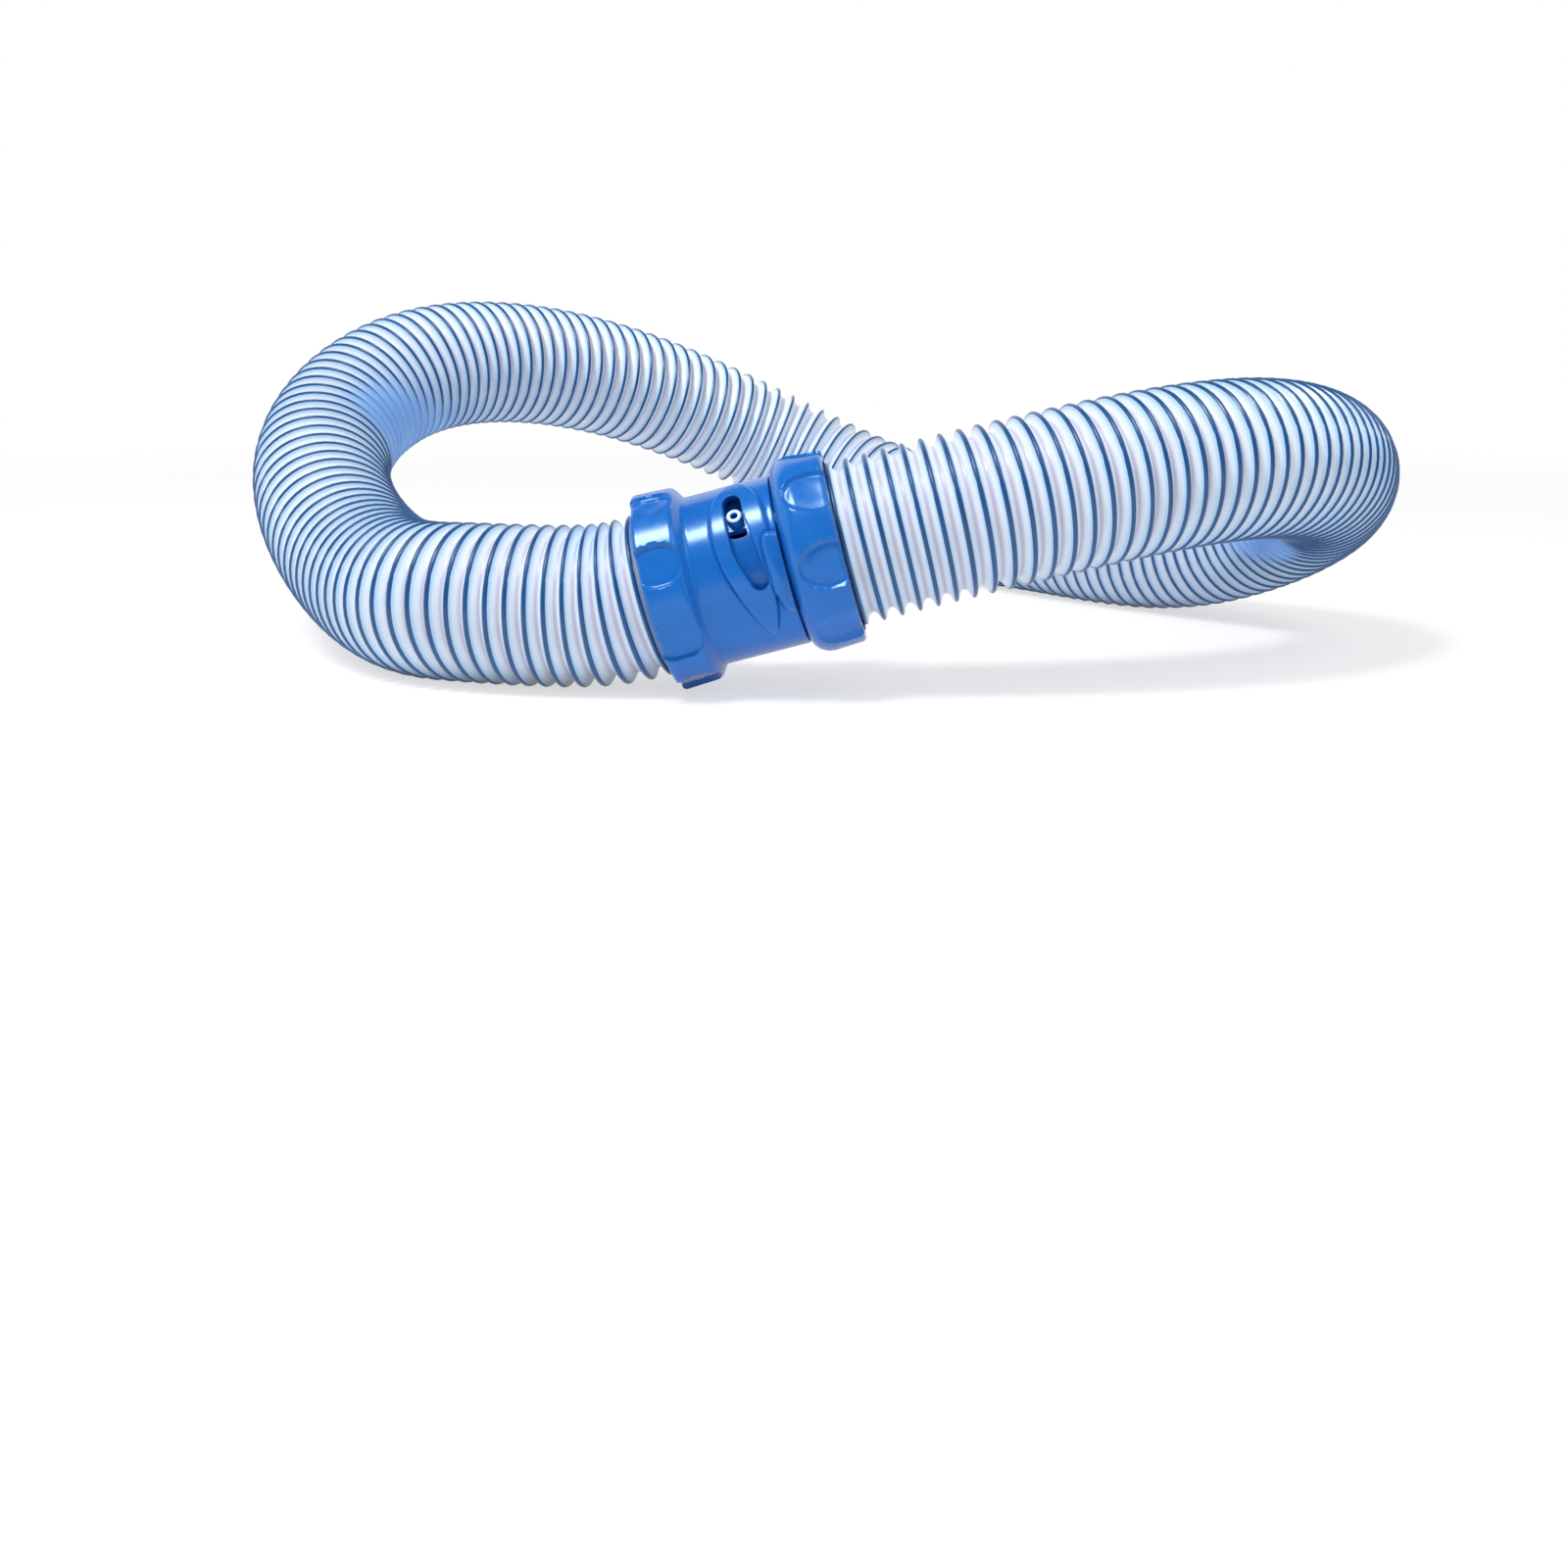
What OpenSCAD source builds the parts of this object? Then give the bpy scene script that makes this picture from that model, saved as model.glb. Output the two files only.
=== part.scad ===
// Twist-lock pool vacuum hose, closed on itself: its male cuff is locked in its own female cuff.
// +X is the longest way across the ring, +Z is up, and the hose rests on Z = 0.

/* [Hose] */
// Diameter over the rib crests
hose_crest_d = 47; // [45:0.5:49]
// Diameter at the bottom of the grooves
hose_root_d = 40.6; // [40:0.2:42]
// Wall of the hose at the bottom of the grooves
hose_wall = 1.5; // [1.2:0.1:2]
// Distance from rib to rib along the centreline
rib_pitch = 5.6; // [5.2:0.1:7]

/* [Coupling place] */
// Centre of the coupling, towards +X
coupling_x = -14.7; // [-16.7:0.1:-12.7]
// Centre of the coupling, towards +Y
coupling_y = -130.5; // [-132.5:0.5:-128.5]
// Height of the coupling's centre over that of hose lying on the floor
coupling_lift = 11; // [10.9:0.1:12.5]
// Rise of the coupling's axis towards the male cuff, in degrees
coupling_rise = 15; // [13:0.5:16]
// Turn of the coupling's axis about the vertical, in degrees
coupling_turn = -2.5; // [-5:0.5:-1]

/* [Female cuff] */
// Wall of the grip ring round its sleeve
grip_wall = 3.6; // [3:0.1:3.6]
// Length of the grip ring up to its shoulder
grip_len = 10.4; // [9.8:0.2:11]
// Height of the socket barrel over the rib crests
barrel_over = 0.9; // [0.7:0.1:1.3]
// Length from the hose side to the mouth of the socket
female_len = 39.2; // [38.8:0.1:40.4]
// Wall of the socket barrel
barrel_wall = 2.4; // [2.2:0.1:2.6]
// Depth that the hose goes into the female cuff
female_depth = 11.1; // [10.5:0.1:11.5]

/* [Male cuff] */
// Wall of the grip collar round its sleeve
collar_wall = 2.6; // [2.4:0.1:3.6]
// Length of the grip collar
collar_len = 15.5; // [14.5:0.5:18]
// Clearance between the spigot's end and the socket's floor
spigot_end_gap = 1; // [0.8:0.1:2]
// Wall of the spigot
spigot_wall = 2.3; // [2.1:0.1:2.5]

/* [Twist lock] */
// Diameter of each lock peg
peg_d = 4.4; // [4:0.2:4.6]
// Diameter of the hole in each lock peg
peg_hole_d = 2; // [1.6:0.2:2.4]
// Distance of the locked pegs from the socket's mouth
peg_from_mouth = 10.7; // [10.2:0.1:11.2]
// Angle of the locked peg above the front, in degrees
peg_angle = 45.5; // [42:0.5:49]
// Twist from locked to free, in degrees
twist = 47; // [42:1:50]
// Way that the twist drives the male cuff out
twist_travel = 3; // [2.4:0.1:3.2]
// Height of the raised pad round each slot
pad_h = 1.3; // [1:0.1:2]

/* [Swivel] */
// Height of the step in the spigot's bore that holds the swivel
tail_step = 1.2; // [1.1:0.1:1.4]
// Wall of the swivel sleeve's tail
tail_wall = 1.6; // [1.5:0.1:2]
// Wall of the sleeves round the hose ends
sleeve_wall = 1.2; // [1:0.1:1.4]
// Thickness of the cord that the spigot's seal ring is made of
spigot_seal_d = 1.44; // [1.4:0.02:1.6]
// Thickness of the cord that the swivel's seal ring is made of
swivel_seal_d = 1.14; // [1.1:0.02:1.2]
// Thickness of the snap ring
snap_ring_t = 1.2; // [1:0.1:1.3]

/* [Grip] */
// Number of thumb scoops round each grip
scoops = 8; // [6:1:8]
// Depth of the grip ring's scoops, as a share of its wall
ring_scoop_share = 0.44; // [0.3:0.02:0.5]
// Depth of the collar's scoops, as a share of its wall
collar_scoop_share = 0.6; // [0.4:0.02:0.66]
// Radius of the ball that each scoop of the grip ring is cut with
ring_scoop_r = 11; // [9:0.5:12]
// Radius of the ball that each scoop of the collar is cut with
collar_scoop_r = 16; // [14:0.5:18]

/* [Fits] */
// Clearance between pieces that move on each other
move_gap = 0.3; // [0.25:0.05:0.35]
// Clearance of a seal ring in its bore
seal_gap = 0.06; // [0.03:0.01:0.1]
// Clearance between bonded pieces
bond_gap = 0.05; // [0.02:0.01:0.1]

/* [Hidden] */
$fn = 96;
eps = 0.01;
hose_blue = [0.78, 0.85, 0.95];
cuff_blue = [0.12, 0.42, 0.80];
sleeve_blue = [0.20, 0.50, 0.85];
seal_black = [0.06, 0.06, 0.07];
steel_grey = [0.72, 0.73, 0.75];

// Places along the coupling's axis, from the female cuff's hose side
mouth_z = female_len;
collar_z = mouth_z + move_gap;
coupling_len = collar_z + collar_len;
web_t = 2.8;
web_end_z = collar_z + web_t;
female_web_t = 1.5;
socket_floor_z = female_depth + 2 * female_web_t;
spigot_z = socket_floor_z + spigot_end_gap;
flange_z = web_end_z + move_gap;
flange_t = 1.5;
male_end_z = flange_z + flange_t + twist_travel + 2 * move_gap;

// Radii round the coupling's axis
hose_bore_d = hose_root_d - 2 * hose_wall;
crest_r = hose_crest_d / 2;
pocket_r = crest_r + move_gap;
sleeve_r = pocket_r + sleeve_wall;
barrel_r = crest_r + barrel_over;
pad_r = barrel_r + pad_h;
socket_r = barrel_r - barrel_wall;
spigot_r = socket_r - move_gap;
spigot_bore_r = spigot_r - spigot_wall;
tail_r = spigot_bore_r - tail_step;
tail_bore_r = tail_r - tail_wall;
grip_r = sleeve_r + grip_wall;
collar_r = sleeve_r + move_gap + collar_wall;
tail_seat_r = tail_r + move_gap;
snap_shoulder_z = collar_z - 3.4;
snap_z = snap_shoulder_z - move_gap - snap_ring_t;
swivel_seal_z = (snap_shoulder_z + web_end_z) / 2;
spigot_seal_z = spigot_z + 3.2;

// The peg and its track: the peg runs down from peg_angle as it runs out towards the mouth
peg_z = mouth_z - peg_from_mouth;
slot_w = peg_d + 2 * move_gap;
window_top = 62;
window_low = 31.5;
slot_middle = peg_angle - twist / 2;
pegs = 2;

// The hose: its ends lie straight in the coupling, and between them it follows these points
end_step = 15;
route = [
    [-102, -122.5, 24], [-131, -97.5, 20.5], [-185, 2.5, 54], [-152, 50.5, 93],
    [-86, 103.5, 87], [-24, 141.5, 59], [25, 134.5, 35], [66, 99.5, 21], [98, 44.5, 25],
    [145, 0.5, 19.5], [186, -50.5, 52], [137, -116.5, 69], [64, -133.5, 55]
];
hose_sides = 8;
flat_ratio = cos(180 / hose_sides);
// Over the floor the ribs are a little fuller, so that their eight flats mean the round rib
full_crest_r = crest_r * 2 / (1 + flat_ratio);
samples = 16;

function unit(v) = v / norm(v);

// A point and an axis of the coupling's own frame in the part's frame
coupling_axis = [
    cos(coupling_rise) * cos(coupling_turn),
    cos(coupling_rise) * sin(coupling_turn),
    sin(coupling_rise)
];
coupling_centre = [coupling_x, coupling_y, hose_crest_d / 2 + coupling_lift];
coupling_foot = coupling_centre - coupling_axis * coupling_len / 2;
function on_axis(z) = coupling_foot + coupling_axis * z;

// Control points of a cubic B-spline from the female cuff round to the male cuff
control = concat(
    [for (k = [-1:2]) on_axis(female_depth - k * end_step)],
    route,
    [for (k = [2:-1:-1]) on_axis(male_end_z + k * end_step)]
);
function spline(i, f) = (
    control[i] * pow(1 - f, 3)
    + control[i + 1] * (3 * pow(f, 3) - 6 * pow(f, 2) + 4)
    + control[i + 2] * (3 * f * f - 3 * pow(f, 3) + 3 * f + 1)
    + control[i + 3] * pow(f, 3)
) / 6;
spans = len(control) - 3;
line = concat(
    [for (i = [0:spans - 1]) for (k = [0:samples - 1]) spline(i, k / samples)],
    [spline(spans - 1, 1)]
);
run = [for (i = 0, s = 0; i < len(line);
    s = s + (i + 1 < len(line) ? norm(line[i + 1] - line[i]) : 0), i = i + 1) s];
hose_len = run[len(run) - 1];
run_x = [for (i = [0:len(line) - 1]) [run[i], line[i].x]];
run_y = [for (i = [0:len(line) - 1]) [run[i], line[i].y]];
run_z = [for (i = [0:len(line) - 1]) [run[i], line[i].z]];
function at(s) = [lookup(s, run_x), lookup(s, run_y), lookup(s, run_z)];
function along(s) = unit(at(min(s + 1, hose_len)) - at(max(s - 1, 0)));

// One ring of the hose: its sides are level, so that a flat faces the floor, and what comes
// within floor_reach of the floor stands on it
floor_reach = 1.1;
function ring(s, r) = let (
    t = along(s),
    side = unit(cross(t, [0, 0, 1])),
    up = cross(side, t),
    c = at(s)
) [for (j = [0:hose_sides - 1]) let (
    a = 360 * (j + 0.5) / hose_sides,
    p = c + side * r * cos(a) + up * r * sin(a)
) [p.x, p.y, p.z < floor_reach ? 0 : p.z]];

// Ribs, each a crest and a groove, at an even pitch
ribs = floor(hose_len / rib_pitch);
true_pitch = hose_len / ribs;
male_hidden = coupling_len - male_end_z;
function free_run(s) = s > female_depth + rib_pitch && s < hose_len - male_hidden - rib_pitch;
function crest_at(s) = free_run(s) ? full_crest_r : crest_r;
// A rib that reaches the floor has a flat crest to rest on
land = 1.4;
function rests(s) = at(s).z < crest_at(s) * flat_ratio + floor_reach;
function crest_rings(s) = rests(s)
    ? [ring(s - land / 2, crest_at(s)), ring(s + land / 2, crest_at(s))]
    : [ring(s, crest_at(s))];
outer_rings = concat(
    [ring(0, hose_root_d / 2)],
    [for (i = [0:ribs - 1])
        each concat(crest_rings(true_pitch * (i + 0.5)),
            [ring(true_pitch * (i + 1), hose_root_d / 2)])]
);
bore_steps = floor(ribs / 2);
bore_rings = [for (i = [0:bore_steps]) ring(hose_len * i / bore_steps, hose_bore_d / 2)];
function skin(first, rings, flip) = [
    for (i = [0:rings - 2]) for (j = [0:hose_sides - 1]) let (
        k = (j + 1) % hose_sides,
        a = first + i * hose_sides + j,
        b = first + i * hose_sides + k,
        c = a + hose_sides,
        d = b + hose_sides
    ) each flip ? [[a, b, d], [a, d, c]] : [[a, d, b], [a, c, d]]
];
function rim(outer, inner, flip) = [
    for (j = [0:hose_sides - 1]) let (
        k = (j + 1) % hose_sides,
        a = outer + j,
        b = outer + k,
        c = inner + j,
        d = inner + k
    ) each flip ? [[a, b, d], [a, d, c]] : [[a, d, b], [a, c, d]]
];
function flat(rings) = [for (r = rings) each r];

module corrugated_hose() {
    outer_n = len(outer_rings);
    bore_n = len(bore_rings);
    first_bore = outer_n * hose_sides;
    echo(hose_length = hose_len, ribs = ribs, pitch = true_pitch);
    echo(loop_length = hose_len + male_end_z - female_depth);
    color(hose_blue)
        polyhedron(
            points = concat(flat(outer_rings), flat(bore_rings)),
            faces = concat(
                skin(0, outer_n, true),
                skin(first_bore, bore_n, false),
                rim(0, first_bore, false),
                rim(first_bore - hose_sides, first_bore + (bore_n - 1) * hose_sides, true)
            ),
            convexity = 10
        );
}

// The coupling's frame: its +Z is the coupling's axis, its front is -Y and its top is -X
module in_coupling() {
    translate(coupling_foot) rotate([0, 90 - coupling_rise, coupling_turn]) children();
}

// Children at an angle above the front of the coupling, out along their own +X
module at_angle(a) {
    rotate([0, 0, 270 - a]) children();
}

// A quarter-round corner of a profile, as points about its centre
function corner(x, z, r, from, to) = [
    for (i = [0:8]) let (a = from + (to - from) * i / 8) [x + r * cos(a), z + r * sin(a)]
];

// Thumb scoops round a grip of radius r, cut with a ball; the first is turned up from the front
module scoops_cut(r, depth, ball_r, z, first) {
    for (i = [0:scoops - 1])
        at_angle(first + i * 360 / scoops)
            translate([r + ball_r - depth, 0, z]) sphere(r = ball_r, $fn = 48);
}

// The way of a peg, seen from outside on the flat: x is round the barrel, y is along it
function track(a) = [
    barrel_r * sin(slot_middle - a),
    peg_z + twist_travel * (peg_angle - a) / twist
];
slot_high = window_top - asin((slot_w / 2) / barrel_r);
slot_steps = 12;
function slot_angle(i) = slot_high + (peg_angle - twist - slot_high) * i / slot_steps;
// The rounded end of the slot, turned from one side of the track to the other
function slot_end(a, from) = [
    for (i = [1:7]) track(a) + slot_w / 2 * [cos(from + 180 * i / 8), sin(from + 180 * i / 8)]
];
slot_outline = concat(
    [for (i = [0:slot_steps]) track(slot_angle(i)) + [0, -slot_w / 2]],
    slot_end(peg_angle - twist, -90),
    [for (i = [slot_steps:-1:0]) track(slot_angle(i)) + [0, slot_w / 2]],
    slot_end(slot_high, 90)
);

// The raised pad round the slot: round above the locked peg, and a narrow tail at the free end
pad_outline = [
    for (p = [
        [-20.7, 1], [-19.8, -1.9], [-16.6, -4.9], [-12, -6.8], [-7, -7.4], [-1, -7.2],
        [5, -6.3], [11, -4.5], [17, -1.9], [21, 0.7], [22.4, 2.9], [20.5, 4.7], [14, 6.7],
        [6, 8], [-4, 8.7], [-12, 8.3], [-17, 6.1], [-19.9, 3.7]
    ]) p + [0, peg_z]
];

// An outline on the flat, stood up outside the axis at the middle of the slot
module outward(from, to) {
    at_angle(slot_middle)
        translate([from, 0, 0])
            rotate([90, 0, 90]) linear_extrude(height = to - from) children();
}

module female_profile() {
    taper = grip_wall * 0.14;
    edge = grip_wall / 3;
    shoulder = grip_wall * 0.55;
    polygon(concat(
        [[sleeve_r + bond_gap, 0]],
        corner(grip_r - edge, edge, edge, -90, 0),
        corner(grip_r - taper - shoulder, grip_len, shoulder, 0, 65),
        corner(barrel_r + 1.6, grip_len + 4.4, 1.6, 245, 180),
        [[barrel_r, mouth_z - 0.4], [barrel_r - 0.4, mouth_z], [socket_r + 0.4, mouth_z],
         [socket_r, mouth_z - 0.4], [socket_r, socket_floor_z],
         [hose_bore_d / 2, socket_floor_z], [hose_bore_d / 2, socket_floor_z - female_web_t],
         [sleeve_r + bond_gap, socket_floor_z - female_web_t]]
    ));
}

// The hood over the way in: a low ridge along the mouth
hood_h = 2.2;
hood_len = 4.2;
hood_low = -23;
hood_high = 26;
module hood() {
    top = mouth_z - 0.7;
    at_angle(hood_high)
        rotate_extrude(angle = hood_high - hood_low)
            polygon([
                [barrel_r - 1, top - hood_len], [barrel_r + 0.6, top - hood_len],
                [barrel_r + hood_h, top - hood_len + 1.4], [barrel_r + hood_h, top - 0.8],
                [barrel_r + 1.5, top], [barrel_r - 1, top]
            ]);
}

module female_cuff() {
    color(cuff_blue) in_coupling() difference() {
        union() {
            rotate_extrude() female_profile();
            for (p = [0:pegs - 1]) rotate([0, 0, p * 360 / pegs]) {
                intersection() {
                    difference() {
                        cylinder(r = pad_r, h = mouth_z - 1);
                        translate([0, 0, -eps]) cylinder(r = barrel_r - 0.5, h = mouth_z);
                    }
                    outward(pad_r / 8, pad_r + 1) polygon(pad_outline);
                }
                hood();
            }
        }
        for (p = [0:pegs - 1]) rotate([0, 0, p * 360 / pegs]) {
            outward(socket_r / 2, pad_r + 2) polygon(slot_outline);
            way_in();
        }
        scoops_cut(grip_r, grip_wall * ring_scoop_share, ring_scoop_r, grip_len * 0.55,
            180 / scoops);
    }
}

// The way in for a peg, under the hood from the mouth to the slot's free end
module way_in() {
    roof_r = barrel_r + 0.9;
    from_r = socket_r - 1;
    at_angle(peg_angle - twist)
        translate([from_r, -slot_w / 2, peg_z + twist_travel + 0.6])
            cube([roof_r - from_r, slot_w, mouth_z]);
}

module female_sleeve() {
    color(sleeve_blue) in_coupling() rotate_extrude()
        polygon([
            [pocket_r, 0.6], [sleeve_r, 0.6], [sleeve_r, female_depth + female_web_t],
            [hose_bore_d / 2, female_depth + female_web_t], [hose_bore_d / 2, female_depth],
            [pocket_r, female_depth]
        ]);
}

module male_profile() {
    front = 4.5;
    polygon(concat(
        [[spigot_bore_r, spigot_z], [spigot_r - 0.6, spigot_z], [spigot_r, spigot_z + 0.6],
         [spigot_r, collar_z]],
        corner(collar_r - front, collar_z + front, front, -90, 0),
        corner(collar_r - 1.5, coupling_len - 1.5, 1.5, 0, 90),
        [[sleeve_r + move_gap, coupling_len], [sleeve_r + move_gap, web_end_z],
         [tail_seat_r, web_end_z], [tail_seat_r, snap_shoulder_z],
         [spigot_bore_r, snap_shoulder_z]]
    ));
}

// Windows beside the peg, so that the strip it stands on can spring
module spring_windows() {
    depth = spigot_wall + 2;
    gap = asin((peg_d / 2 + 0.6) / spigot_r);
    for (w = [[window_top, peg_angle + gap], [peg_angle - gap, window_low]])
        at_angle(w[0]) rotate_extrude(angle = w[0] - w[1])
            translate([spigot_bore_r - 1, peg_z - slot_w / 2]) square([depth, slot_w]);
}

module male_cuff() {
    groove_bottom = socket_r - seal_gap - spigot_seal_d;
    collar_scoop_z = coupling_len - collar_len * 0.29;
    color(cuff_blue) in_coupling() difference() {
        rotate_extrude() difference() {
            male_profile();
            translate([groove_bottom, spigot_seal_z - spigot_seal_d / 2 - 0.1])
                square([spigot_seal_d + 1, spigot_seal_d + 0.2]);
        }
        for (p = [0:pegs - 1]) rotate([0, 0, p * 360 / pegs]) {
            spring_windows();
            at_angle(peg_angle) translate([0, 0, peg_z]) rotate([0, 90, 0])
                cylinder(r = peg_d / 2 + bond_gap, h = spigot_r + 2);
        }
        scoops_cut(collar_r, collar_wall * collar_scoop_share, collar_scoop_r, collar_scoop_z, -1);
    }
}

module lock_pegs() {
    foot_r = spigot_bore_r + 0.4;
    color(sleeve_blue) in_coupling()
        for (p = [0:pegs - 1]) rotate([0, 0, p * 360 / pegs])
            at_angle(peg_angle) translate([foot_r, 0, peg_z]) rotate([0, 90, 0])
                difference() {
                    cylinder(r = peg_d / 2, h = barrel_r + 0.3 - foot_r);
                    translate([0, 0, 1]) cylinder(r = peg_hole_d / 2, h = barrel_r);
                }
}

module swivel_sleeve() {
    seal_bottom = tail_seat_r - seal_gap - swivel_seal_d;
    snap_bottom = tail_r - 0.6;
    color(sleeve_blue) in_coupling() rotate_extrude() difference() {
        polygon([
            [tail_bore_r, snap_z - 1], [tail_r, snap_z - 1], [tail_r, flange_z],
            [sleeve_r, flange_z], [sleeve_r, coupling_len - 0.6], [pocket_r, coupling_len - 0.6],
            [pocket_r, flange_z + flange_t], [tail_bore_r, flange_z + flange_t]
        ]);
        translate([seal_bottom, swivel_seal_z - swivel_seal_d / 2 - 0.1])
            square([swivel_seal_d + 1, swivel_seal_d + 0.2]);
        translate([snap_bottom, snap_z - bond_gap])
            square([2, snap_ring_t + 2 * bond_gap]);
    }
}

module swivel_snap_ring() {
    opening = 30;
    color(steel_grey) in_coupling() at_angle(180 - opening / 2)
        rotate_extrude(angle = 360 - opening)
            translate([tail_r - 0.6 + bond_gap, snap_z]) square([1.5 - bond_gap, snap_ring_t]);
}

// A seal ring: a round cord bent round the coupling's axis
module seal_ring(bore_r, cord_d, z) {
    color(seal_black) in_coupling() translate([0, 0, z]) rotate_extrude()
        translate([bore_r - seal_gap - cord_d / 2, 0]) circle(d = cord_d, $fn = 48);
}

module spigot_seal_ring() {
    seal_ring(socket_r, spigot_seal_d, spigot_seal_z);
}

module swivel_seal_ring() {
    seal_ring(tail_seat_r, swivel_seal_d, swivel_seal_z);
}

corrugated_hose();
female_cuff();
female_sleeve();
male_cuff();
lock_pegs();
swivel_sleeve();
swivel_snap_ring();
spigot_seal_ring();
swivel_seal_ring();
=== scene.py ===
"""Twist-lock pool vacuum hose, one section closed into a ring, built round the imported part."""

import math

import bmesh
import bpy
from mathutils import Matrix, Vector


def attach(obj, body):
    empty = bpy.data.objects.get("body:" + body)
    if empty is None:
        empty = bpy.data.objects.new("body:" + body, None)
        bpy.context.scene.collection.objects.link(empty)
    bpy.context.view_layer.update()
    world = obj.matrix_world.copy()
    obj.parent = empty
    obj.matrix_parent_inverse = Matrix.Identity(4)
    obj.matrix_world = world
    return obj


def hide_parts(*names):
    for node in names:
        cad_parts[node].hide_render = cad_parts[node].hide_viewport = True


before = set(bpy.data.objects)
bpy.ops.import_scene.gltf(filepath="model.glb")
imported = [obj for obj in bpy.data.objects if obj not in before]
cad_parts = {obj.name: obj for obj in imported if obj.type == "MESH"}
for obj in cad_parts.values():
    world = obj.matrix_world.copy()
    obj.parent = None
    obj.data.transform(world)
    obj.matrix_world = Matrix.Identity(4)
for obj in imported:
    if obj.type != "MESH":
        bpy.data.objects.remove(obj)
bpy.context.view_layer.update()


# ---------------------------------------------------------------- camera

def set_camera():
    """A 36 mm lens on a 36 mm square frame, level, looking 15.9 degrees down at the ring."""
    data = bpy.data.cameras.new("camera")
    data.lens = 36.0
    data.sensor_width = 36.0
    data.sensor_height = 36.0
    data.sensor_fit = "HORIZONTAL"
    data.clip_start = 0.01
    data.clip_end = 20.0
    camera = bpy.data.objects.new("camera", data)
    camera.location = (-0.00526, -0.57910, 0.09832)
    camera.rotation_euler = (math.radians(90 - 15.884), 0, 0)
    bpy.context.scene.collection.objects.link(camera)
    bpy.context.scene.camera = camera


# ---------------------------------------------------------------- the coupling's own frame

RISE = 15.0
TURN = -2.5
COUPLING_CENTRE = Vector((-0.0147, -0.1305, 0.0345))
MOVE_GAP = 0.0003
TRAVEL = 0.0030
TWIST = 47.0
FEMALE_LEN = 0.0392
FEMALE_DEPTH = 0.0111
FEMALE_WEB_T = 0.0015
COLLAR_LEN = 0.0155
COLLAR_Z = FEMALE_LEN + MOVE_GAP
COLLAR_WEB_T = 0.0028
COUPLING_LEN = COLLAR_Z + COLLAR_LEN
FLANGE_T = 0.0015
# The hose ends behind the swivel sleeve's flange, with room for the travel
MALE_END = COLLAR_Z + COLLAR_WEB_T + MOVE_GAP + FLANGE_T + TRAVEL + 2 * MOVE_GAP
AXIS = Vector((
    math.cos(math.radians(RISE)) * math.cos(math.radians(TURN)),
    math.cos(math.radians(RISE)) * math.sin(math.radians(TURN)),
    math.sin(math.radians(RISE)),
))
FOOT = COUPLING_CENTRE - AXIS * (COUPLING_LEN / 2)
# Local +Z runs along the coupling from the female cuff, local -X is its top and local -Y its front
COUPLING = (
    Matrix.Translation(FOOT)
    @ Matrix.Rotation(math.radians(TURN), 4, "Z")
    @ Matrix.Rotation(math.radians(90 - RISE), 4, "Y")
)


def on_axis(z):
    """The point of the coupling's axis at a distance from the female cuff's foot."""
    return FOOT + AXIS * z


# ---------------------------------------------------------------- the hose's route

# Each end of the hose runs straight out of its cuff, over points this far apart
END_STEP = 0.015
# The points that the hose follows from the female cuff round to the male cuff
ROUTE = [
    (-0.102, -0.1225, 0.024), (-0.131, -0.0975, 0.0205), (-0.185, 0.0025, 0.054),
    (-0.152, 0.0505, 0.093), (-0.086, 0.1035, 0.087), (-0.024, 0.1415, 0.059),
    (0.025, 0.1345, 0.035), (0.066, 0.0995, 0.021), (0.098, 0.0445, 0.025),
    (0.145, 0.0005, 0.0195), (0.186, -0.0505, 0.052), (0.137, -0.1165, 0.069),
    (0.064, -0.1335, 0.055),
]
CREST_R = 0.0235
ROOT_R = 0.0203
BORE_R = 0.0188
RIB_PITCH = 0.0056
SPLINE_STEPS = 16


def hose_line():
    """Points of the cubic B-spline that runs from the female cuff round to the male cuff."""
    control = [on_axis(FEMALE_DEPTH - k * END_STEP) for k in (-1, 0, 1, 2)]
    control += [Vector(p) for p in ROUTE]
    control += [on_axis(MALE_END + k * END_STEP) for k in (2, 1, 0, -1)]
    points = []
    for i in range(len(control) - 3):
        for k in range(SPLINE_STEPS):
            points.append(spline(control[i:i + 4], k / SPLINE_STEPS))
    points.append(spline(control[-4:], 1.0))
    return points


def spline(p, f):
    """The point of one B-spline span, from its four control points."""
    return (
        p[0] * (1 - f) ** 3
        + p[1] * (3 * f ** 3 - 6 * f ** 2 + 4)
        + p[2] * (3 * f + 3 * f ** 2 - 3 * f ** 3 + 1)
        + p[3] * f ** 3
    ) / 6


class Line:
    """A line that gives its point, direction and bend at a distance from its start."""

    def __init__(self, points):
        self.points = points
        self.run = [0.0]
        for a, b in zip(points, points[1:]):
            self.run.append(self.run[-1] + (b - a).length)
        self.length = self.run[-1]

    def at(self, s):
        s = min(max(s, 0.0), self.length)
        low, high = 0, len(self.run) - 1
        while high - low > 1:
            middle = (low + high) // 2
            if self.run[middle] <= s:
                low = middle
            else:
                high = middle
        f = (s - self.run[low]) / (self.run[high] - self.run[low])
        return self.points[low].lerp(self.points[high], f)

    def along(self, s):
        step = 0.003
        return (self.at(s + step) - self.at(s - step)).normalized()

    def bend(self, s):
        """Points to the middle of the bend, and is as long as one over its radius."""
        step = 0.012
        return (self.along(s + step) - self.along(s - step)) / (2 * step)


hose_run = Line(hose_line())
RIBS = int(hose_run.length / RIB_PITCH)
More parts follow.
